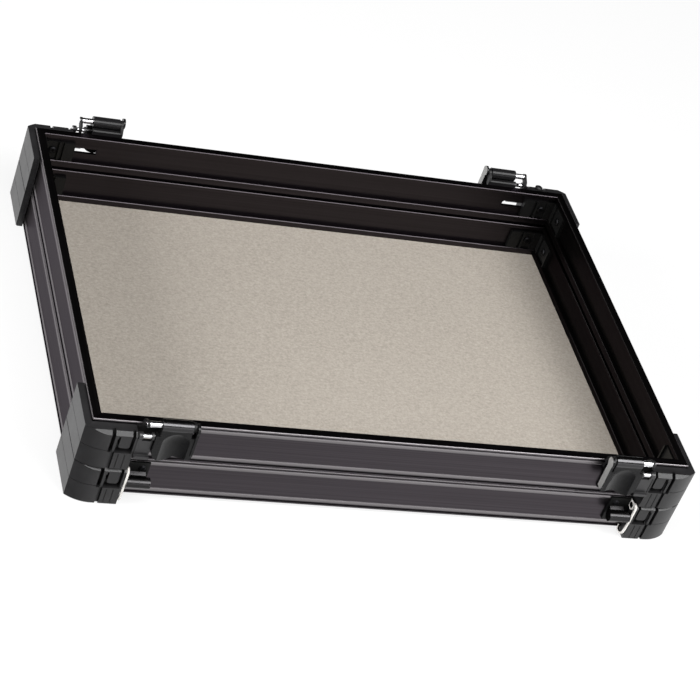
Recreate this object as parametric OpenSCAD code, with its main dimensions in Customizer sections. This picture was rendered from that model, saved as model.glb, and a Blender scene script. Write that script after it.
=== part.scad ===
// Stackable latching tray module: two stacked levels of mitred aluminium
// extrusion, wrapped by moulded corner blocks, with a lined base and four
// over-centre side latches. Origin: bottom centre. X long axis, Y back, Z up.

/* [Tray] */
// Outside length over the corner blocks
tray_length = 408; // [360:1:460]
// Outside width over the corner blocks
tray_width = 311; // [270:1:350]
// Height of one level
pitch = 29; // [29:0.5:31]

/* [Rails] */
// How far the corner blocks stand proud of the rail ends
proud_x = 4.5; // [4.5:0.1:5.5]
// How far the corner blocks stand proud of the long rails
proud_y = 10.1; // [10:0.1:10.2]
// Depth of the rail flanges
rail_depth = 6; // [6:0.1:7]
// Thickness of the rail web
web_thickness = 2.7; // [2.4:0.1:2.8]

/* [Corner blocks] */
// Radius of the bulged face beside each outside corner
bulge_radius = 24.3; // [23.5:0.1:26]
// Length of the block wing along the long side
wing_x = 31.7; // [31.6:0.1:31.9]
// Length of the block wing along the short side
wing_y = 43.5; // [36:0.5:50]

/* [Latches] */
// Inboard end of the lever, from the centre of the tray
lever_inner = 137; // [120:1:137]
// Thickness of the lever plate
lever_thickness = 4.8; // [4:0.1:4.8]
// Radius of the lever barrel
barrel_radius = 3.9; // [3.7:0.1:4]
// Diameter of the lever pivot pin
pin_diameter = 4; // [3.6:0.1:4.2]
// Diameter of the link pin
link_pin_diameter = 2.8; // [2.4:0.1:3]
// Radial running clearance of every pin
clearance = 0.05; // [0.02:0.01:0.1]

/* [Base] */
// Thickness of the base panel
panel_thickness = 1.5; // [1.2:0.1:1.5]
// Thickness of the liner mat
liner_thickness = 0.8; // [0.5:0.1:1.5]

/* [Hidden] */
$fn = 48;

half_length = tray_length / 2;
half_width = tray_width / 2;
rail_x = half_length - proud_x;   // outer face of the short rails
rail_y = half_width - proud_y;    // outer face of the long rails
lower_z = 2;                      // underside of the lower rails
upper_z = lower_z + pitch;        // underside of the upper rails
gap = 0.05;                       // clearance between touching pieces

rail_color = [0.07, 0.065, 0.075];
block_color = [0.05, 0.05, 0.055];
key_color = [0.1, 0.1, 0.11];
screw_color = [0.2, 0.2, 0.21];
steel_color = [0.75, 0.75, 0.76];

// ---- Placing. Corner pieces are drawn at +x, -y (front right).
// "Out" is the distance in front of a face whose plane is y = -face.

// Mirrors a front right piece to the corner given by two signs
module quad(side_x, side_y) {
  mirror([side_x < 0 ? 1 : 0, 0, 0]) mirror([0, side_y > 0 ? 1 : 0, 0]) children();
}
module four() {
  for (side_x = [-1, 1], side_y = [-1, 1]) quad(side_x, side_y) children();
}
// Turns an [out, z] point into [y, z]
function out_point(point, face = rail_y) = [-(face + point[0]), point[1]];
// Extrudes a shape drawn in (y, z) along x
module along_x(start, end) {
  translate([start, 0, 0]) rotate([90, 0, 90]) linear_extrude(end - start) children();
}
// Extrudes an outline of [out, z] points along x
module x_profile(start, end, outline, face = rail_y) {
  along_x(start, end) polygon([for (point = outline) out_point(point, face)]);
}
// Round bar along x about an [out, z] centre
module x_rod(start, end, centre, radius) {
  translate([start, -(rail_y + centre[0]), centre[1]]) rotate([0, 90, 0])
    cylinder(r = radius, h = end - start);
}
// Faces children forward at each height in a column
module forward_column(x, heights, out) {
  for (z = heights) translate([x, -(rail_y + out), z]) rotate([90, 0, 0]) children();
}

// ---- Fasteners, head on +z
// Pan head screw with a cross recess
module screw(head_radius, head_height, shank_radius, shank_length) {
  slot_size = [head_radius * 1.1, 0.55];
  slot_depth = head_height * 1.1;
  difference() {
    union() {
      cylinder(r = head_radius, h = head_height * 0.6);
      translate([0, 0, head_height * 0.6])
        cylinder(r1 = head_radius, r2 = head_radius * 0.72, h = head_height * 0.4);
      translate([0, 0, -shank_length]) cylinder(r = shank_radius, h = shank_length + 0.1);
    }
    translate([0, 0, head_height]) {
      cube([slot_size[0], slot_size[1], slot_depth], center = true);
      cube([slot_size[1], slot_size[0], slot_depth], center = true);
    }
  }
}
module rivet(head_radius, top_radius, head_height, shank_radius, shank_length) {
  cylinder(r1 = head_radius, r2 = top_radius, h = head_height);
  translate([0, 0, -shank_length]) cylinder(r = shank_radius, h = shank_length + 0.1);
}

// ---- Rails
rail_height = 29;
bead_radius = 2.6;
mitre_depth = 8;      // reaches behind the flanges

// Shallow round bead centred at height z
function bead(z) = [for (angle = [-36 : 6 : 36])
  [bead_radius * (1 - cos(angle)), z + bead_radius * sin(angle)]];
// Extrusion outline: depth inward from the outer face, height
rail_outline = concat(
  [[0.25, 0], [0, 0.3], [0, 0.9], [0.2, 1.1], [0.5, 1.2], [0.5, 1.9]],
  bead(3.8), bead(25.0),
  [[0.5, 26.9], [0.5, 27.3], [0.2, 27.45], [0, 27.7], [0, 28.1],
  [0.07, 28.45], [0.26, 28.74], [0.55, 28.93], [0.9, rail_height],
  [rail_depth - 0.3, rail_height], [rail_depth, rail_height - 0.3], [rail_depth, 26.2],
  [web_thickness, 25.9], [web_thickness, 7.6],
  [rail_depth - 0.3, 7.6], [rail_depth, 7.3], [rail_depth, 2.9], [rail_depth - 0.3, 2.6],
  [3.1, 2.6], [3.1, 0]]);
// Right end of the mitred plan: distance along the rail, depth inward
function mitre_end(half) = [
  [half - 0.6, 0], [half - 0.3 - gap, 0.3], [half - mitre_depth - gap, mitre_depth]];
// Rail along x with its outer face at y = -face, mitred at both ends
module rail(half, face, bottom) {
  right = mitre_end(half);
  left = [for (i = [2 : -1 : 0]) [-right[i][0], right[i][1]]];
  intersection() {
    translate([-half, -face, bottom]) rotate([90, 0, 90])
      linear_extrude(2 * half) polygon(rail_outline);
    translate([0, -face, 0]) linear_extrude(100) polygon(concat(right, left));
  }
}
module long_rail(bottom) { rail(rail_x, rail_y, bottom); }
module short_rail(bottom) { rotate(90) rail(rail_y, rail_x, bottom); }
// Upper long rail, slotted near both ends behind the latches
module upper_long_rail() {
  difference() {
    long_rail(upper_z);
    for (side = [-1, 1]) translate([side * (lever_inner + 25.6), -rail_y + 2, 46.9])
      cube([17, 8, 4.2], center = true);
  }
}

module upper_rail_front() { color(rail_color) upper_long_rail(); }
module upper_rail_back() { color(rail_color) mirror([0, 1, 0]) upper_long_rail(); }
module upper_rail_right() { color(rail_color) short_rail(upper_z); }
module upper_rail_left() { color(rail_color) mirror([1, 0, 0]) short_rail(upper_z); }
module lower_rail_front() { color(rail_color) long_rail(lower_z); }
module lower_rail_back() { color(rail_color) mirror([0, 1, 0]) long_rail(lower_z); }
module lower_rail_right() { color(rail_color) short_rail(lower_z); }
module lower_rail_left() { color(rail_color) mirror([1, 0, 0]) short_rail(lower_z); }

// ---- Corner blocks
plan_size = 60;                     // working size, longer than both wings
bulge_inset = 16;                   // bulge centre, inward from the end face
pad_y = -(half_width - 0.9);        // front face of the pad beside the corner
bulge_y = pad_y + bulge_radius;
// crisp upright edge where the bulge meets the end face
edge_y = bulge_y - sqrt(bulge_radius * bulge_radius - bulge_inset * bulge_inset);
// Slabs that make up the block height: bottom z, height, inset of the plan
block_slabs = [[0, 0.6, 0.6], [0.6, 13.95, 0], [14.55, 0.35, 0.35],
  [14.9, 13.85, 0], [28.75, 0.2, 0.2]];
window_inset = 30.6;                // inboard side of the window, from the end face
window_bottom = 13.4;
tab_size = [6.8, 5, 8.2];
tab_bottom = 18.4;
tab_round = 1.6;                    // radius of the tab's lower corners

// Block plan with its outside pulled in by inset
module block_plan(inset) {
  plan_x = half_length - plan_size;
  difference() {
    intersection() {
      translate([plan_x, -half_width - 1]) square([plan_size - inset, half_width + 1]);
      union() {
        intersection() {
          translate([half_length - bulge_inset, bulge_y])
            circle(r = bulge_radius - inset, $fn = 144);
          translate([half_length - bulge_inset - 0.5, -half_width - 1])
            square([30, bulge_radius + 1]);
        }
        translate([plan_x, pad_y + inset]) square([plan_size - bulge_inset, 60]);
        translate([plan_x, edge_y]) square([plan_size, 60]);
      }
    }
    // room for the rails, then the ends of the two wings
    translate([-1, -(rail_y + gap)]) square([rail_x + 1 + gap, 400]);
    translate([half_length - 100, -half_width - 1]) square([100 - wing_x, 200]);
    translate([plan_x, -(half_width - wing_y)]) square([80, 200]);
  }
}
// Box cut from the front: inset from the end face, depth back from the half width
module front_cut(inset, width, depth, bottom, height) {
  translate([half_length - inset, -half_width - 1, bottom]) cube([width, depth + 1, height]);
}
// Tab hanging in the window, its lower corners rounded
module window_tab() {
  translate([half_length - window_inset + 1.9, pad_y + 0.7, tab_bottom]) {
    cube(tab_size);
    translate([tab_round, 0, -tab_round]) cube([tab_size[0] - 2 * tab_round, tab_size[1], 2]);
    for (x = [tab_round, tab_size[0] - tab_round]) translate([x, tab_size[1], 0])
      rotate([90, 0, 0]) cylinder(r = tab_round, h = tab_size[1]);
  }
}
module corner_block(bottom) {
  translate([0, 0, bottom]) {
    difference() {
      for (slab = block_slabs) translate([0, 0, slab[0]])
        linear_extrude(slab[1]) block_plan(slab[2]);
      // top front edge slopes away
      x_profile(half_length - plan_size, half_length + 1,
        [[-3.5, 29.95], [-3.5, 28.95], [-0.8, 26.9], [2, 24.8], [2, 31]], half_width);
      // upper half of the key groove, open at the top
      front_cut(inset = 18.4, width = 2.4, depth = 5.6, bottom = window_bottom, height = 17);
      // lower half: a shallower step beside the pad
      front_cut(inset = 20.4, width = 2.2, depth = 2.7, bottom = -1, height = 15);
      // window, with a slot on each side of the tab
      front_cut(window_inset, width = 10, depth = 5.4, bottom = window_bottom, height = 12.8);
      front_cut(window_inset, width = 1.9, depth = 5, bottom = window_bottom, height = 17);
      front_cut(inset = 20.7, width = 0.9, depth = 2.4, bottom = window_bottom, height = 11);
      // fine vertical lines in the lower pad
      for (inset = [27.5, 23.4])
        front_cut(inset, width = 0.5, depth = 1.4, bottom = -1, height = 13.4);
    }
    window_tab();
  }
}
// Small locating button on top of one upper block
module locating_button() {
  translate([half_length - 22, -(half_width - 5.2), 2 * pitch]) {
    translate([0, 0, -1]) cylinder(r = 2.8, h = 2.4);
    translate([0, 0, 1.35]) cylinder(r1 = 2.8, r2 = 1.6, h = 0.8);
  }
}

module upper_corner(side_x, side_y) {
  color(block_color) quad(side_x, side_y) {
    corner_block(pitch);
    // only the back right block carries the button
    if (side_x > 0 && side_y > 0) locating_button();
  }
}
module lower_corner(side_x, side_y) { color(block_color) quad(side_x, side_y) corner_block(0); }

// ---- Inside corner keys: ribbed angles in the rail channels, drawn from the
// corner where the inner faces of the two rail webs meet
key_offset = web_thickness + gap;   // key back, from the rails' outer faces
key_wall = 1.4;
key_long_end = key_offset - 29;
key_corner_plate = key_offset - 10.5;
key_relief = 0.4;                   // long wing stops short of the short rail
key_screw_x = key_offset - 14.2;    // screw in the long wing
key_screw_y = 14.5;                 // screw in the short wing
key_screw_z = 15.1;

module key_frame(bottom) {
  translate([rail_x - key_offset, -(rail_y - key_offset), bottom]) children();
}
module key_plan() {
  difference() {
    union() {
      translate([key_long_end, 0]) square([-key_relief - key_long_end, key_wall]);
      translate([-key_wall, 0]) square([key_wall, 24]);
      // end plate, thin rib and corner plate on the long side
      translate([key_long_end, 0]) square([7.6, 3.0]);
      translate([key_offset - 19.2, 0]) square([1.4, 3.2]);
      translate([key_corner_plate, 0]) square([-key_relief - key_corner_plate, 2.6]);
      // ribs and corner plate on the short side
      for (y = [22.8, 6.4]) translate([-3.1, y]) square([3.1, 1.2]);
      translate([-2.2, 0]) square([2.2, 6.5]);
    }
    // chamfer at the very corner clears the mitre
    rotate(45) square([2, 2], center = true);
  }
}
module corner_key(bottom) {
  key_frame(bottom) difference() {
    translate([0, 0, 7.7]) linear_extrude(14.5) key_plan();
    translate([key_screw_x, key_wall + 3, key_screw_z])
      rotate([90, 0, 0]) cylinder(r = 1.6, h = 8);
    translate([-key_wall - 3, key_screw_y, key_screw_z])
      rotate([0, 90, 0]) cylinder(r = 1.6, h = 8);
  }
}
module key_screw() {
  screw(head_radius = 2.7, head_height = 1.4, shank_radius = 1.55, shank_length = 2.6);
}

module upper_key(side_x, side_y) { color(key_color) quad(side_x, side_y) corner_key(upper_z); }
module lower_key(side_x, side_y) { color(key_color) quad(side_x, side_y) corner_key(lower_z); }
module key_screws() {
  color(screw_color) for (bottom = [lower_z, upper_z]) four() key_frame(bottom) {
    translate([key_screw_x, key_wall, key_screw_z]) rotate([-90, 0, 0]) key_screw();
    translate([-key_wall, key_screw_y, key_screw_z]) rotate([0, -90, 0]) key_screw();
  }
}

// ---- Base
panel_z = lower_z + 2.55 - panel_thickness;
liner_z = lower_z + 2.62;

// Flat sheet, inset from the outer faces of the rails
module sheet(inset, bottom, thickness) {
  translate([0, 0, bottom + thickness / 2])
    cube([2 * (rail_x - inset), 2 * (rail_y - inset), thickness], center = true);
}

module base_panel() { color([0.08, 0.08, 0.085]) sheet(3.3, panel_z, panel_thickness); }
module tray_liner() {
  color([0.69, 0.66, 0.62]) sheet(rail_depth + 0.25, liner_z, liner_thickness);
}
// Three screws up into each long rail and two into each short rail
module panel_screws() {
  inset = 4.6;
  sites = concat(
    [for (x = [-1, 0, 1], y = [-1, 1]) [x * (rail_x - 60), y * (rail_y - inset)]],
    [for (x = [-1, 1], y = [-1, 1]) [x * (rail_x - inset), y * (rail_y - 70)]]);
  color(screw_color) for (site = sites)
    translate([site[0], site[1], panel_z]) rotate([180, 0, 0])
      screw(head_radius = 1.6, head_height = 0.8, shank_radius = 0.8, shank_length = 4.4);
}

// ---- Latches; centres and outlines are [out, z] from the long rail's face
lever_pivot = [7.0, 65.4];
link_pivot = [8.1, 56.8];
lever_length = 22.8;
barrel_end = lever_inner + lever_length;
lug_end = lever_inner + 25.3;       // end of the lever's link lug
link_start = lug_end + 0.4;
link_end = lever_inner + 35;
plate_back = -0.45;                 // back of the latch and catch plates
latch_face = 1.7;                   // front of the latch base plate
latch_rivet_x = lever_inner + 8.5;
latch_rivet_heights = [40, 51];
ear_start = lever_inner + 1.7;

// Ear that carries the lever pin
module ear(start, end, radius) {
  difference() {
    union() {
      x_profile(start, end, [[gap, 54], [gap, 62.4], [1.2, 64.6],
        [lever_pivot[0], lever_pivot[1] + radius], [lever_pivot[0], lever_pivot[1] - radius],
        [4.4, 61.7], [latch_face, 59.4], [latch_face, 54]]);
      x_rod(start, end, lever_pivot, radius);
    }
    x_rod(start - 1, end + 1, lever_pivot, pin_diameter / 2);
  }
}
module latch_base_shape() {
  // stepped back and top shared by both parts of the plate
  plate_top = [[plate_back, 54.2], [gap, 55.6], [gap, 58.6], [latch_face, 58.6]];
  ear(ear_start, lever_inner + 3.5, 3.2);
  ear(link_end - 4.6, link_end - 2.9, 2.3);
  difference() {
    union() {
      x_profile(lever_inner + 4.5, lever_inner + 15.5,
        concat([[plate_back, 36.5]], plate_top, [[latch_face, 37.5], [1.0, 36.5]]));
      x_profile(lever_inner + 15, link_end,
        concat([[plate_back, 51]], plate_top, [[latch_face, 51]]));
      // shroud that closes the gap between the rim and the barrel
      x_profile(ear_start, barrel_end - 0.2, [[gap, 54], [gap, 62.2], [0.8, 62.9],
        [3.2, 62.9], [3.8, 62.0], [4.2, 60.8], [latch_face, 58.0], [latch_face, 54]]);
    }
    forward_column(latch_rivet_x, latch_rivet_heights, -5) cylinder(r = 1.7, h = 12);
  }
}

lever_front = rail_y + 11.4;        // front of the lever plate is at y = -lever_front
cheek_width = 1.5;
ear_slot_width = 2.4;
thumb_radius = 16;
thumb_top = 55;                     // where the thumb channel's dome begins

// Front view of the lever plate, x from its inboard end
module lever_plan() {
  translate([0, 45]) square([lever_length, 20.4]);
  translate([18, 46]) square([7.3, 13.5]);
  translate([2.2, 42.8]) square([16, 6]);
  translate([2.2, 45]) circle(r = 2.2);
  // rounded lobe at the lower outboard corner
  translate([17.5, 47.6]) circle(r = 7.8, $fn = 72);
}
module lever_shape() {
  difference() {
    union() {
      // barrel
      x_rod(lever_inner + cheek_width + ear_slot_width, barrel_end, lever_pivot,
        barrel_radius, $fn = 96);
      intersection() {
        translate([lever_inner, -lever_front - 0.8, 0]) rotate([90, 0, 0])
          mirror([0, 0, 1]) linear_extrude(lever_thickness + 0.8) lever_plan();
        // side view of the plate, with a waist under the barrel
        x_profile(lever_inner - 1, lever_inner + 30, [[0, 34], [-lever_thickness, 34],
          [-lever_thickness, 66], [-1.0, 66], [-0.9, 60.9], [-0.1, 58.6], [0, 57]],
          lever_front);
      }
      // raised cheek at the inboard end, rounded top and bottom
      along_x(lever_inner, lever_inner + cheek_width) translate([-lever_front, 0]) {
        translate([-0.7, 47]) square([5.4, 19]);
        translate([2, 47.2]) circle(r = 2.7);
        translate([2.5, 65.6]) circle(r = 3.6);
      }
      // lug that carries the link pin
      along_x(barrel_end - 1.5, lug_end) translate(out_point(link_pivot)) circle(r = 2.9);
    }
    // thumb channel: round section, open through the lower edge, with a domed top
    translate([lever_inner + 12.3, -lever_front - 13.6, thumb_top]) {
      translate([0, 0, -25]) cylinder(r = thumb_radius, h = 25, $fn = 120);
      sphere(r = thumb_radius, $fn = 120);
    }
    // slot for the fixed ear, between the cheek and the barrel
    translate([lever_inner + cheek_width, -(rail_y + 25), 59.5])
      cube([ear_slot_width, 40, 20]);
    // pin bores
    x_rod(lever_inner + 1.6, lever_inner + 41.6, lever_pivot, pin_diameter / 2 + clearance);
    x_rod(barrel_end - 3, barrel_end + 9, link_pivot, link_pin_diameter / 2);
  }
}
// Hooked plate hung from the link pin by two arms
module link_shape() {
  half = 0.9;             // half the plate thickness
  face = rail_y + link_pivot[0];
  difference() {
    union() {
      x_profile(link_start, link_end, [[-half, 53.4], [-half, 42.0], [0.6, 40.4],
        [3.2, 40.4], [3.2, 42.4], [2.2, 42.4], [2.0, 41.8], [1.2, 41.8],
        [half, 42.4], [half, 53.4]], face);
      for (arm = [[link_start, link_start + 1.3], [link_end - 2.4, link_end]]) {
        x_profile(arm[0], arm[1], [[-half, 53], [-half, link_pivot[1]],
          [half, link_pivot[1]], [half, 53]], face);
        x_rod(arm[0], arm[1], link_pivot, 2.4);
      }
    }
    x_rod(link_start - 1, link_start + 19, link_pivot, link_pin_diameter / 2 + clearance);
  }
}

module latch_base(side_x, side_y) {
  color([0.09, 0.09, 0.1]) quad(side_x, side_y) latch_base_shape();
}
module lever(side_x, side_y) { color([0.04, 0.04, 0.045]) quad(side_x, side_y) lever_shape(); }
module link(side_x, side_y) { color([0.12, 0.12, 0.13]) quad(side_x, side_y) link_shape(); }
module link_pin(side_x, side_y) {
  color(steel_color) quad(side_x, side_y)
    x_rod(barrel_end - 3, link_end, link_pivot, link_pin_diameter / 2);
}
module lever_pins() {
  color(steel_color) four()
    x_rod(ear_start, link_end - 2.7, lever_pivot, pin_diameter / 2, $fn = 72);
}
module latch_rivets() {
  color(steel_color) four() forward_column(latch_rivet_x, latch_rivet_heights, latch_face)
    rivet(head_radius = 3, top_radius = 1.8, head_height = 1.1,
      shank_radius = 1.65, shank_length = 4);
}

// ---- Catches on the lower level, also in [out, z]
catch_centre = [7.1, 17.6];         // catch barrel
eye_centre = [3.6, 25.4];           // rolled eye at the top of the strip
catch_face = 1.2;                   // front of the flange on the rail
catch_end = link_end - 0.3;
strip_start = link_end - 1.55;
catch_rivet_x = lever_inner + 23.5;
catch_rivet_heights = [11.2, 24];
// Bent strip, its foot hooked back under the barrel
strip_outline = [
  [gap, 26.6], [gap, 28.6], [3.0, 28.9], [7.4, 29.3], [9.0, 28.5], [9.7, 27.0],
  [9.7, 18.5], [9.2, 8], [8.6, 4.4], [7.2, 1.9], [4.6, 0.8], [1.8, 0.7],
  [0.4, 1.8], [0.4, 5.2], [1.6, 5.2], [1.6, 2.3], [2.4, 1.9], [4.4, 2.0],
  [6.2, 2.9], [7.4, 4.9], [8.0, 8.2], [8.5, 18.6], [8.5, 26.4],
  [7.9, 27.6], [6.8, 28.0], [3.0, 27.7], [1.2, 26.6]];

module catch_plate_shape() {
  difference() {
    union() {
      // back flange on the rail
      x_profile(lever_inner + 19, catch_end, [[plate_back, 9], [plate_back, 25.2],
        [gap, 26.6], [gap, 28.6], [catch_face, 28.6], [catch_face, 9]]);
      x_profile(strip_start, catch_end, strip_outline);
      along_x(strip_start, catch_end) translate(out_point(eye_centre)) circle(r = 3.2);
    }
    along_x(strip_start - 1, link_end + 1) translate(out_point(eye_centre)) circle(r = 2.1);
    forward_column(catch_rivet_x, catch_rivet_heights, -4) cylinder(r = 1.5, h = 12);
  }
}

module catch_plate(side_x, side_y) {
  color(steel_color) quad(side_x, side_y) catch_plate_shape();
}
module catch_barrels() {
  color([0.05, 0.05, 0.055]) four() {
    x_rod(lever_inner + 18.5, link_end - 1.8, catch_centre, 3.6);
    // web that carries the barrel from its plate
    x_profile(lever_inner + 20.5, link_end - 4.5, [[1.25, 13.8], [1.25, 21.2], [3.2, 19.9],
      [catch_centre[0], 19.6], [catch_centre[0], 15.6], [3.2, 15.2]]);
  }
}
module catch_rivets() {
  color(steel_color) four() forward_column(catch_rivet_x, catch_rivet_heights, catch_face)
    rivet(head_radius = 2.3, top_radius = 1.5, head_height = 0.9,
      shank_radius = 1.45, shank_length = 3.3);
}

upper_rail_front();
upper_rail_back();
upper_rail_left();
upper_rail_right();
lower_rail_front();
lower_rail_back();
lower_rail_left();
lower_rail_right();
upper_corner(-1, -1);  // upper_corner_fl
upper_corner(1, -1);  // upper_corner_fr
upper_corner(-1, 1);  // upper_corner_bl
upper_corner(1, 1);  // upper_corner_br
lower_corner(-1, -1);  // lower_corner_fl
lower_corner(1, -1);  // lower_corner_fr
lower_corner(-1, 1);  // lower_corner_bl
lower_corner(1, 1);  // lower_corner_br
upper_key(-1, -1);  // upper_key_fl
upper_key(1, -1);  // upper_key_fr
upper_key(-1, 1);  // upper_key_bl
upper_key(1, 1);  // upper_key_br
lower_key(-1, -1);  // lower_key_fl
lower_key(1, -1);  // lower_key_fr
lower_key(-1, 1);  // lower_key_bl
lower_key(1, 1);  // lower_key_br
base_panel();
tray_liner();
latch_base(-1, -1);  // latch_base_fl
latch_base(1, -1);  // latch_base_fr
latch_base(-1, 1);  // latch_base_bl
latch_base(1, 1);  // latch_base_br
lever(-1, -1);  // lever_fl
lever(1, -1);  // lever_fr
lever(-1, 1);  // lever_bl
lever(1, 1);  // lever_br
link(-1, -1);  // link_fl
link(1, -1);  // link_fr
link(-1, 1);  // link_bl
link(1, 1);  // link_br
link_pin(-1, -1);  // link_pin_fl
link_pin(1, -1);  // link_pin_fr
link_pin(-1, 1);  // link_pin_bl
link_pin(1, 1);  // link_pin_br
lever_pins();
catch_plate(-1, -1);  // catch_plate_fl
catch_plate(1, -1);  // catch_plate_fr
catch_plate(-1, 1);  // catch_plate_bl
catch_plate(1, 1);  // catch_plate_br
catch_barrels();
key_screws();
latch_rivets();
catch_rivets();
panel_screws();
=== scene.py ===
# Looks and studio for a black rectangular tray: two levels of extruded rails joined by
# moulded corners, with latches (levers, links, catches), a base panel and a grey liner.
# Metres. The tray is centred on the origin and stands on z = 0, its long side along X;
# -Y is the front, +X the right. The camera looks down from the front left.
import bpy, math
from fnmatch import fnmatchcase
from mathutils import Matrix, Vector

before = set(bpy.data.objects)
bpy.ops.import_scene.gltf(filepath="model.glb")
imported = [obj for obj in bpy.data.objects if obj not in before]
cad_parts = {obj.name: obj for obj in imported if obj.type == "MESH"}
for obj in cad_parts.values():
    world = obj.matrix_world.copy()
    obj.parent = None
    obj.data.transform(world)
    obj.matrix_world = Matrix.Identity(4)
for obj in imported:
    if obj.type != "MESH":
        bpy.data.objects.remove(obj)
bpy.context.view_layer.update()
SCENE = bpy.context.scene
X, Y, Z = 0, 1, 2
WHITE = (1, 1, 1)

# ------------------------------------------------------------------ dimensions
# rail profile, repeated at every level
LEVEL_BASE = 0.002
LEVEL_PITCH = 0.029
# height ranges above the foot of a level
LOWER_BEAD = (0.0024, 0.0052)
UPPER_BEAD = (0.0236, 0.0264)
TOP_EDGE = (0.0281, 0.0289)
LOWER_GROOVE = (0.0008, 0.0021)
UPPER_GROOVE = (0.0267, 0.0277)
# distance from the centre beyond which a surface counts as the outside of a rail
X_RAIL_OUTSIDE = 0.1447
Y_RAIL_OUTSIDE = 0.1988
GROOVE_REACH = 0.0007       # the grooves start this much nearer the centre
# where the painted shade on the inward walls of the right and back rails starts
RIGHT_RAIL_FROM_X = 0.15
BACK_RAIL_FROM_Y = 0.10

# latches
HINGE_Y = 0.1524            # hinge axis, front and back
HINGE_Z = 0.0654
BARREL_RADIUS = 0.0039
BARREL_SKIN = 0.00004       # tolerance either side of the barrel surface
CHEEK_INSIDE_X = 0.1374
STRIP_OUTSIDE_X = 0.165
STRIP_OUTSIDE_Y = 0.1515

# edge rounding on every bevelled piece
ROUND_SEGMENTS = 2
ROUND_ANGLE = math.radians(35)
SHARP_ANGLE = math.radians(32)

FLOOR_HALF = 6.0
FLOOR_DROP = 0.0004


# ------------------------------------------------------------------ node helpers
class Graph:
    """The node tree of a material or a world, started empty."""

    def __init__(self, owner):
        owner.use_nodes = True
        self.tree = owner.node_tree
        self.tree.nodes.clear()

    def node(self, kind, inputs=None, **settings):
        node = self.tree.nodes.new("ShaderNode" + kind)
        for name, value in settings.items():
            setattr(node, name, value)
        for key, value in (inputs or {}).items():
            self.feed(node.inputs[key], value)
        return node

    def feed(self, socket, value):
        """Link another node's output to the socket, or set its value."""
        if isinstance(value, bpy.types.NodeSocket):
            self.tree.links.new(value, socket)
        elif socket.type == "RGBA":
            socket.default_value = (*value, 1)
        else:
            socket.default_value = value

    # arithmetic
    def math(self, operation, *values, clamp=False):
        inputs = dict(enumerate(values))
        return self.node("Math", inputs, operation=operation, use_clamp=clamp).outputs[0]

    def add(self, first, second, clamp=False):
        return self.math("ADD", first, second, clamp=clamp)

    def subtract(self, first, second, clamp=False):
        return self.math("SUBTRACT", first, second, clamp=clamp)

    def product(self, first, *others):
        for other in others:
            first = self.math("MULTIPLY", first, other)
        return first

    def absolute(self, value):
        return self.math("ABSOLUTE", value)

    # masks, 0 to 1
    def above(self, value, limit):
        return self.math("GREATER_THAN", value, limit)

    def below(self, value, limit):
        return self.math("LESS_THAN", value, limit)

    def fade(self, mask, strength):
        return self.product(mask, strength)

    def dim(self, mask, where, amount):
        """Lower a mask by the given share where another mask is 1."""
        return self.product(mask, self.subtract(1.0, self.fade(where, amount)))

    def map_range(self, value, start, end, to_start=0.0, to_end=1.0):
        return self.node("MapRange", {
            "Value": value, "From Min": start, "From Max": end,
            "To Min": to_start, "To Max": to_end}).outputs[0]

    def band(self, value, limits, soft):
        """1 between the limits, with soft ends."""
        low, high = limits
        rise = self.map_range(value, low - soft, low + soft)
        fall = self.map_range(value, high - soft, high + soft, to_start=1.0, to_end=0.0)
        return self.product(rise, fall)

    # colour and relief
    def ramp(self, factor, *stops):
        """Colour ramp; each stop is (position, colour or grey level)."""
        node = self.node("ValToRGB", {0: factor})
        elements = node.color_ramp.elements
        while len(elements) < len(stops):
            elements.new(0.5)
        for element, (position, colour) in zip(elements, stops):
            element.position = position
            rgb = colour if isinstance(colour, tuple) else (colour,) * 3
            element.color = (*rgb, 1)
        return node.outputs[0]

    def mix(self, factor, first, second):
        # colour sockets of the Mix node: inputs 6 and 7, output 2
        inputs = {0: factor, 6: first, 7: second}
        return self.node("Mix", inputs, data_type="RGBA").outputs[2]

    def bump(self, height, distance, strength, under=None):
        inputs = {"Strength": strength, "Distance": distance, "Height": height}
        if under is not None:
            inputs["Normal"] = under
        return self.node("Bump", inputs).outputs[0]

    # geometry
    def split(self, vector):
        return self.node("SeparateXYZ", {0: vector}).outputs


class Shader(Graph):
    """A material with a Principled surface, textured in object coordinates."""

    def __init__(self, name, textured=True):
        self.material = bpy.data.materials.new(name)
        super().__init__(self.material)
        self.output = self.node("OutputMaterial")
        self.principled = self.node("BsdfPrincipled")
        self.feed(self.output.inputs[0], self.principled.outputs[0])
        if textured:
            self.coords = self.node("TexCoord").outputs["Object"]

    def surface(self, inputs):
        for name, value in inputs.items():
            self.feed(self.principled.inputs[name], value)
        return self.material

    def noise(self, scale, stretch=(1, 1, 1), detail=2.0, rough=0.5):
        mapped = self.node("Mapping", {"Scale": stretch, "Vector": self.coords}).outputs[0]
        return self.node("TexNoise", {
            "Scale": scale, "Detail": detail, "Roughness": rough,
            "Vector": mapped}).outputs["Fac"]

    def position(self):
        return self.split(self.coords)

    def face_normal(self):
        world_normal = self.node("NewGeometry").outputs["True Normal"]
        return self.split(self.node("VectorTransform", {0: world_normal}, vector_type="NORMAL",
                                    convert_from="WORLD", convert_to="OBJECT").outputs[0])


# ------------------------------------------------------------------ rails
# per rail direction: die line stretch, brightness, tint, axis across, outside limit; the
# differences in brightness and tint between directions are painted light, making the front and
# back rails darker and more purple than the side rails as they catch the light differently
RAILS = {
    "x": ((3, 900, 900), 0.80, (1.0, 0.885, 0.98), Y, X_RAIL_OUTSIDE),
    "y": ((900, 3, 900), 1.0, (1.0, 0.93, 0.945), X, Y_RAIL_OUTSIDE),
}
RAIL_GREYS = (0.078, 0.110, 0.108)          # die line low, die line high, blotches
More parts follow.
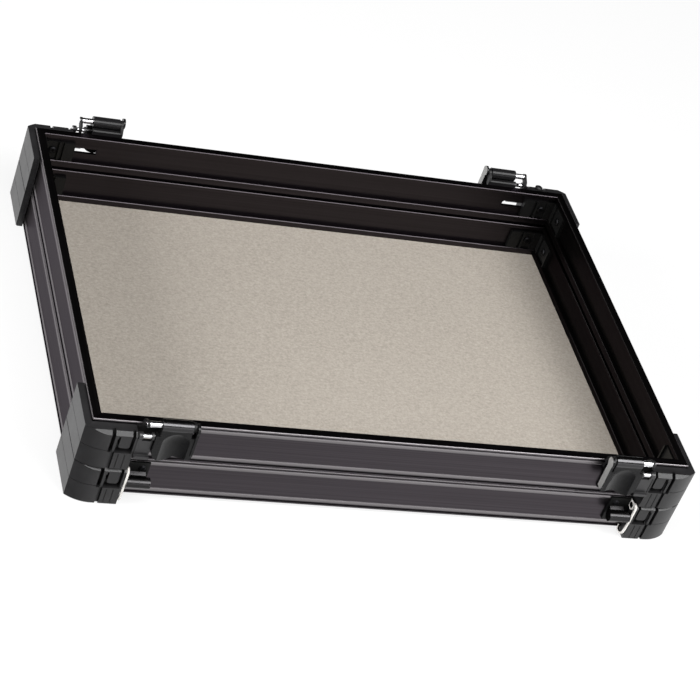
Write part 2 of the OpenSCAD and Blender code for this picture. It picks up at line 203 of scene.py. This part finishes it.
# painted shade colours for the inward walls of the right and back rails
RIGHT_INNER_PAINTED_SHADE = (0.0105, 0.009, 0.009)
BACK_INNER_PAINTED_SHADE = (0.012, 0.010, 0.011)
# painted highlight colour for the beads and the top outer edges
BEAD_PAINTED_HIGHLIGHT = (0.28, 0.265, 0.272)
# painted shade colour for the grooves and the flat tops
GROOVE_PAINTED_SHADE = (0.006, 0.0055, 0.006)


def inner_wall_shade_mask(shader, axis, beyond, strength):
    """Faces past a limit on an axis that look back down that axis; where painted shade goes.
    """
    normal = shader.face_normal()[axis]
    position = shader.position()[axis]
    looks_back = shader.below(normal, -0.6)
    return shader.product(looks_back, shader.above(position, beyond), strength)


def level_height(shader, position):
    """Height above the foot of the level a point belongs to."""
    return shader.math("MODULO", shader.subtract(position[Z], LEVEL_BASE), LEVEL_PITCH)


def bead_highlight_mask(shader, across, outside):
    """Painted highlight on the beads and the top outer edge of each level, standing in for the
    light they catch.
    """
    position = shader.position()
    height = level_height(shader, position)
    bead_highlight = shader.add(shader.band(height, LOWER_BEAD, soft=0.0003),
                       shader.band(height, UPPER_BEAD, soft=0.0003))
    edge = shader.band(height, TOP_EDGE, soft=0.0002)
    bead_highlight = shader.add(bead_highlight, shader.fade(edge, strength=0.9), clamp=True)
    outer = shader.above(shader.absolute(position[across]), outside)
    side = shader.above(shader.absolute(shader.face_normal()[across]), 0.35)
    return shader.product(bead_highlight, outer, side)


def groove_and_top_shade_mask(shader, across, outside):
    """Painted shade in the outer grooves of each level and on the flat top faces."""
    position = shader.position()
    height = level_height(shader, position)
    grooves = shader.add(shader.band(height, LOWER_GROOVE, soft=0.0002),
                         shader.band(height, UPPER_GROOVE, soft=0.0002), clamp=True)
    distance = shader.absolute(position[across])
    grooves = shader.product(grooves, shader.above(distance, outside - GROOVE_REACH))
    top = shader.above(shader.face_normal()[Z], 0.95)
    return shader.math("MAXIMUM", shader.fade(grooves, strength=0.9),
                       shader.fade(top, strength=0.7))


def rail(name, direction):
    """Black anodised extrusion: die lines, fine blast texture, faint blotches; with painted
    highlights on the beads and top edges and painted shade in the grooves, on the tops and on
    the inward walls.
    """
    stretch, painted_light_level, tint, across, outside = RAILS[direction]
    shader = Shader(name)
    lines = shader.noise(scale=1.0, stretch=stretch, detail=3.0, rough=0.6)
    grain = shader.noise(scale=2600.0, detail=1.0)
    blotches = shader.noise(scale=28.0, detail=3.0, rough=0.6)
    low, high, blotch = (tuple(grey * painted_light_level * t for t in tint) for grey in RAIL_GREYS)

    colour = shader.ramp(lines, (0.3, low), (0.7, high))
    colour = shader.mix(shader.ramp(blotches, (0.45, 0.0), (0.75, 0.30)), colour, blotch)
    # painted shade: the inward walls of the right and back rails are darkened, standing in for
    # the shade that falls on them
    right = inner_wall_shade_mask(shader, X, beyond=RIGHT_RAIL_FROM_X, strength=0.75)
    colour = shader.mix(right, colour, RIGHT_INNER_PAINTED_SHADE)
    back = inner_wall_shade_mask(shader, Y, beyond=BACK_RAIL_FROM_Y, strength=0.46)
    colour = shader.mix(back, colour, BACK_INNER_PAINTED_SHADE)
    # painted highlight on the beads and the top outer edge of each level
    bead_highlight = shader.fade(bead_highlight_mask(shader, across, outside), strength=0.80)
    colour = shader.mix(bead_highlight, colour, BEAD_PAINTED_HIGHLIGHT)
    # painted shade in the grooves and on the flat tops
    colour = shader.mix(groove_and_top_shade_mask(shader, across, outside), colour, GROOVE_PAINTED_SHADE)

    blotch_rough = shader.ramp(blotches, (0.3, 0.28), (0.7, 0.38))
    line_rough = shader.ramp(lines, (0.25, 0.26), (0.75, 0.44))
    relief = shader.bump(lines, distance=0.00003, strength=0.5)
    return shader.surface({
        "Base Color": colour,
        "Roughness": shader.mix(0.5, blotch_rough, line_rough),
        "Metallic": 1.0,
        "Specular Tint": (0.36, 0.35, 0.37),
        "Normal": shader.bump(grain, distance=0.00001, strength=0.35, under=relief),
    })


# ------------------------------------------------------------------ other materials
def fine_black(name, base, rough, specular, relief, scale, tint=WHITE):
    """Dull black with a fine spark texture and slight blotches."""
    shader = Shader(name)
    grain = shader.noise(scale=scale, detail=2.0, rough=0.6)
    blotches = shader.noise(scale=60.0, detail=4.0, rough=0.6)
    dark = tuple(base * t for t in tint)
    light = tuple(base * 1.5 * t for t in tint)
    blotch_rough = shader.ramp(blotches, (0.3, rough - 0.06), (0.7, rough + 0.06))
    grain_rough = shader.ramp(grain, (0.3, rough - 0.05), (0.7, rough + 0.07))
    return shader.surface({
        "Base Color": shader.ramp(blotches, (0.3, dark), (0.75, light)),
        "Roughness": shader.mix(0.5, blotch_rough, grain_rough),
        "Specular IOR Level": specular,
        "Normal": shader.bump(grain, distance=relief, strength=0.6),
    })


def gloss(name):
    """Glossy black levers with a painted highlight of light grey on the inboard end faces
    (cheeks), and a burnished hinge barrel.
    """
    base = 0.0045           # darkest grey
    rough = 0.17            # lowest roughness
    cheek_painted_highlight = (0.85, 0.84, 0.82)
    barrel_colour = (0.066, 0.065, 0.067)
    shader = Shader(name)
    facing_x = shader.absolute(shader.face_normal()[X])
    position = shader.position()
    # painted highlight: the inboard end faces of the levers are coloured light grey metal,
    # standing in for the key light falling on them
    cheek_highlight = shader.product(shader.above(facing_x, 0.9),
                           shader.below(shader.absolute(position[X]), CHEEK_INSIDE_X))
    waves = shader.noise(scale=260.0, detail=3.0, rough=0.6)
    grain = shader.noise(scale=2400.0, detail=1.0)
    colour = shader.ramp(waves, (0.3, (base, base, base * 1.05)),
                         (0.7, (base * 1.6, base * 1.55, base * 1.65)))
    # painted shade: the cheek highlight and barrel metal are mostly taken away at the back of
    # the tray, where the light does not reach them
    rear_painted_shade = shader.above(position[Y], 0.0)
    cheek_highlight = shader.dim(cheek_highlight, rear_painted_shade, amount=0.72)
    colour = shader.mix(cheek_highlight, colour, cheek_painted_highlight)

    # barrel skin: points at the barrel radius from the hinge axis, end faces left out
    from_y = shader.subtract(shader.absolute(position[Y]), HINGE_Y)
    from_z = shader.subtract(position[Z], HINGE_Z)
    radius = shader.math("SQRT", shader.add(shader.product(from_y, from_y),
                                            shader.product(from_z, from_z)))
    barrel = shader.product(shader.above(radius, BARREL_RADIUS - BARREL_SKIN),
                            shader.below(radius, BARREL_RADIUS + BARREL_SKIN),
                            shader.below(facing_x, 0.5))
    # painted shade: the barrel metal is mostly taken away at the back of the tray
    barrel = shader.dim(barrel, rear_painted_shade, amount=0.92)

    wave_rough = shader.ramp(waves, (0.35, rough), (0.7, rough + 0.1))
    relief = shader.bump(waves, distance=0.00003, strength=0.25)
    return shader.surface({
        "Base Color": shader.mix(barrel, colour, barrel_colour),
        "Metallic": shader.add(shader.fade(cheek_highlight, strength=0.85), barrel, clamp=True),
        "Roughness": shader.add(wave_rough, shader.fade(cheek_highlight, strength=0.18)),
        "Specular IOR Level": 0.22,
        "Normal": shader.bump(grain, distance=0.000008, strength=0.3, under=relief),
    })


def metal(name, colour, rough, scratch):
    """Metal with fine scratches along X."""
    shader = Shader(name)
    scratches = shader.noise(scale=1.0, stretch=(40, 1400, 1400), detail=2.0, rough=0.6)
    blotches = shader.noise(scale=300.0, detail=3.0)
    dark = tuple(0.82 * c for c in colour)
    scratch_rough = shader.ramp(scratches, (0.3, rough), (0.75, rough + 0.12))
    blotch_rough = shader.ramp(blotches, (0.35, rough), (0.7, rough + 0.1))
    return shader.surface({
        "Base Color": shader.ramp(scratches, (0.3, dark), (0.7, colour)),
        "Metallic": 1.0,
        "Roughness": shader.mix(0.5, scratch_rough, blotch_rough),
        "Normal": shader.bump(scratches, distance=0.00001, strength=scratch),
    })


def bare_edged_strip(name):
    """Black coated strip, made near-black partly as painted shade of the recess it sits in,
    with bare bright steel on its X-facing edges and its outermost part.
    """
    # black coating, darkened further as painted shade of the recess
    coating_and_painted_shade = (0.003, 0.003, 0.003)
    shader = Shader(name)
    facing_x = shader.absolute(shader.face_normal()[X])
    position = shader.position()
    out_y = shader.absolute(position[Y])
    out_x = shader.absolute(position[X])
    bare = shader.math("MAXIMUM", shader.above(facing_x, 0.6),
                       shader.above(out_y, STRIP_OUTSIDE_Y))
    bare = shader.product(bare, shader.above(out_x, STRIP_OUTSIDE_X))
    streaks = shader.noise(scale=1.0, stretch=(1, 900, 120), detail=2.0, rough=0.6)
    steel = shader.ramp(streaks, (0.3, (0.62, 0.60, 0.57)), (0.7, (0.82, 0.80, 0.77)))
    return shader.surface({
        "Base Color": shader.mix(bare, coating_and_painted_shade, steel),
        "Metallic": shader.fade(bare, strength=0.3),
        "Roughness": shader.ramp(bare, (0.0, 0.5), (1.0, 0.4)),
        "Specular IOR Level": 0.25,
        "Normal": shader.bump(streaks, distance=0.00002, strength=0.4),
    })


def felt(name):
    """Warm grey mat: short felted fibre with darker and lighter specks."""
    shader = Shader(name)
    specks = shader.noise(scale=620.0, detail=5.0, rough=0.72)
    fibres = shader.noise(scale=330.0, stretch=(0.8, 1.9, 1), detail=4.0, rough=0.7)
    blotches = shader.noise(scale=9.0, detail=4.0, rough=0.6)
    colour = shader.ramp(specks,
                         (0.34, (0.2515, 0.2249, 0.194)),
                         (0.5, (0.3379, 0.3043, 0.2635)),
                         (0.66, (0.4339, 0.3931, 0.344)))
    fibre_colour = shader.ramp(fibres,
                               (0.35, (0.2736, 0.2457, 0.2114)),
                               (0.65, (0.408, 0.3704, 0.323)))
    colour = shader.mix(0.40, colour, fibre_colour)
    blotch_mask = shader.ramp(blotches, (0.35, 0.0), (0.7, 0.16))
    relief = shader.bump(specks, distance=0.00025, strength=0.5)
    return shader.surface({
        "Base Color": shader.mix(blotch_mask, colour, (0.384, 0.3515, 0.3093)),
        "Roughness": 0.93,
        "Specular IOR Level": 0.12,
        "Sheen Weight": 0.06,
        "Sheen Roughness": 0.5,
        "Normal": shader.bump(fibres, distance=0.00030, strength=0.35, under=relief),
    })


MATERIALS = {
    "rail_x": rail("rail_x", "x"),
    "rail_y": rail("rail_y", "y"),
    "corner": fine_black("corner_nylon", base=0.0115, rough=0.40, specular=0.44,
                         relief=0.00002, scale=1700.0, tint=(1.0, 0.97, 1.02)),
    "key": fine_black("key_nylon", base=0.0040, rough=0.42, specular=0.22,
                      relief=0.00002, scale=1500.0),
    "board": fine_black("base_board", base=0.02, rough=0.7, specular=0.3,
                        relief=0.00004, scale=900.0),
    "coated": fine_black("latch_coated", base=0.014, rough=0.36, specular=0.6,
                         relief=0.00001, scale=2600.0, tint=(1.0, 0.96, 1.02)),
    "plate": fine_black("latch_base_black", base=0.006, rough=0.42, specular=0.3,
                        relief=0.00001, scale=2600.0, tint=(1.0, 0.97, 1.02)),
    "gloss": gloss("lever_gloss"),
    "barrel": metal("catch_barrel_metal", colour=(0.045, 0.044, 0.045), rough=0.24,
                    scratch=0.0),
    "chrome": metal("pin_chrome", colour=(0.86, 0.86, 0.88), rough=0.09, scratch=0.03),
    "steel": bare_edged_strip("catch_steel"),
    "screw": metal("screw_black", colour=(0.022, 0.022, 0.024), rough=0.45, scratch=0.2),
    "liner": felt("liner_mat"),
}

# ------------------------------------------------------------------ dressing the pieces
# name pattern, material, edge rounding width (None leaves the edges alone);
# the first pattern that fits is used
FINISHES = (
    ("*rail_*front", "rail_x", 0.00018),
    ("*rail_*back", "rail_x", 0.00018),
    ("*rail_*", "rail_y", 0.00018),
    ("*_corner_*", "corner", 0.00045),
    ("catch_barrels", "barrel", None),
    ("*_key_*", "key", 0.00025),
    ("base_panel", "board", None),
    ("tray_liner", "liner", None),
    ("link_pin*", "chrome", None),
    ("lever_pins", "chrome", None),
    ("latch_base*", "plate", 0.0002),
    ("link_*", "coated", 0.00025),
    ("lever_*", "gloss", 0.00012),
    ("catch_plate*", "steel", 0.00015),
    ("*", "screw", None),
)


def round_edges(piece, width):
    bevel = piece.modifiers.new("edge_round", "BEVEL")
    bevel.width = width
    bevel.segments = ROUND_SEGMENTS
    bevel.limit_method = "ANGLE"
    bevel.angle_limit = ROUND_ANGLE
    bevel.harden_normals = True
    bevel.use_clamp_overlap = True


def dress(name, piece):
    material, width = next(finish[1:] for finish in FINISHES if fnmatchcase(name, finish[0]))
    mesh = piece.data
    mesh.materials.clear()
    mesh.materials.append(MATERIALS[material])
    mesh.shade_smooth()
    for face in mesh.polygons:
        face.material_index = 0
        face.use_smooth = True
    mesh.set_sharp_from_angle(angle=SHARP_ANGLE)
    if width:
        round_edges(piece, width)


for name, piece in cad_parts.items():
    dress(name, piece)


# ------------------------------------------------------------------ studio
def paper_white(name):
    """White sweep: near white when seen directly, uneven in reflections."""
    shader = Shader(name, textured=False)
    shader.surface({"Base Color": (0.86, 0.86, 0.86), "Roughness": 0.9,
                    "Specular IOR Level": 0.1})
    light_path = shader.node("LightPath")
    camera_ray = light_path.outputs["Is Camera Ray"]
    glossy_ray = light_path.outputs["Is Glossy Ray"]

    # in reflections the back of the sweep is bright and the front falls off to the left
    incoming = shader.split(shader.node("NewGeometry").outputs["Incoming"])
    front = shader.add(shader.product(incoming[X], -1.10), 0.50)
    back = shader.map_range(incoming[Y], start=-0.15, end=0.15, to_start=1.10, to_end=0.0)
    front_share = shader.subtract(1.0, back, clamp=True)
    front = shader.product(shader.math("MAXIMUM", front, 0.05), front_share)
    reflected = shader.add(front, back)
    glow = shader.node("Emission", {
        "Color": WHITE,
        "Strength": shader.add(camera_ray, shader.product(glossy_ray, reflected))})

    # directly seen, a fifth of the lit paper remains and gives a faint contact shadow
    glow_share = shader.add(shader.fade(camera_ray, strength=0.80), glossy_ray, clamp=True)
    blend = shader.node("MixShader", {0: glow_share, 1: shader.principled.outputs[0],
                                      2: glow.outputs[0]})
    shader.feed(shader.output.inputs[0], blend.outputs[0])
    return shader.material


def build_floor():
    mesh = bpy.data.meshes.new("floor")
    half = FLOOR_HALF
    corners = [(-half, -half, 0), (half, -half, 0), (half, half, 0), (-half, half, 0)]
    mesh.from_pydata(corners, [], [(0, 1, 2, 3)])
    floor = bpy.data.objects.new("floor", mesh)
    SCENE.collection.objects.link(floor)
    floor.location.z = -FLOOR_DROP
    mesh.materials.append(paper_white("floor_white"))


def build_world():
    """White behind the scene, almost dark as a source of light."""
    world = bpy.data.worlds.new("studio")
    SCENE.world = world
    graph = Graph(world)
    output = graph.node("OutputWorld")
    camera_ray = graph.node("LightPath").outputs["Is Camera Ray"]
    ambient = graph.node("Background", {"Color": WHITE, "Strength": 0.03})
    backdrop = graph.node("Background", {"Color": WHITE, "Strength": 1.0})
    blend = graph.node("MixShader", {0: camera_ray, 1: ambient.outputs[0],
                                     2: backdrop.outputs[0]})
    graph.feed(output.inputs[0], blend.outputs[0])


def area_light(name, location, target, size, power):
    """Rectangular lamp of size (width, height) aimed at a target."""
    data = bpy.data.lights.new(name, "AREA")
    data.shape = "RECTANGLE"
    data.size, data.size_y = size
    data.energy = power
    lamp = bpy.data.objects.new(name, data)
    SCENE.collection.objects.link(lamp)
    lamp.location = location
    aim = Vector(target) - Vector(location)
    lamp.rotation_euler = aim.to_track_quat("-Z", "Y").to_euler()


def build_lights():
    area_light("key_left", location=(-1.9, -0.35, 0.75), target=(0, 0, 0.02),
               size=(1.0, 1.0), power=44)
    area_light("over_box", location=(0.80, -1.10, 1.55), target=(0, -0.03, 0.02),
               size=(1.5, 1.15), power=44)
    area_light("overhead", location=(-0.35, -0.60, 2.0), target=(-0.1, -0.12, 0),
               size=(1.0, 0.8), power=20)
    area_light("left_horizon", location=(-1.8, 2.1, 0.95), target=(-0.2, 0, 0.03),
               size=(1.2, 0.5), power=10)
    area_light("front_panel", location=(0.75, -2.1, 0.32), target=(0.1, 0, 0.05),
               size=(1.6, 0.55), power=5)


def build_camera():
    data = bpy.data.cameras.new("cam")
    data.sensor_width = 36.0
    data.lens = 116.86
    data.clip_start = 0.05
    data.clip_end = 50
    camera = bpy.data.objects.new("cam", data)
    SCENE.collection.objects.link(camera)
    right = Vector((0.92933, -0.21537, 0.29992))
    up = Vector((-0.08865, 0.65836, 0.74746))
    forward = Vector((0.35844, 0.72123, -0.59275))
    pose = Matrix((right, up, -forward)).transposed().to_4x4()
    pose.translation = (-0.54046, -1.11218, 0.92466)
    camera.matrix_world = pose
    SCENE.camera = camera


def set_view():
    view = SCENE.view_settings
    view.view_transform = "Standard"
    view.look = "None"
    view.exposure = 0.0
    view.gamma = 1.0


build_floor()
build_world()
build_lights()
build_camera()
set_view()
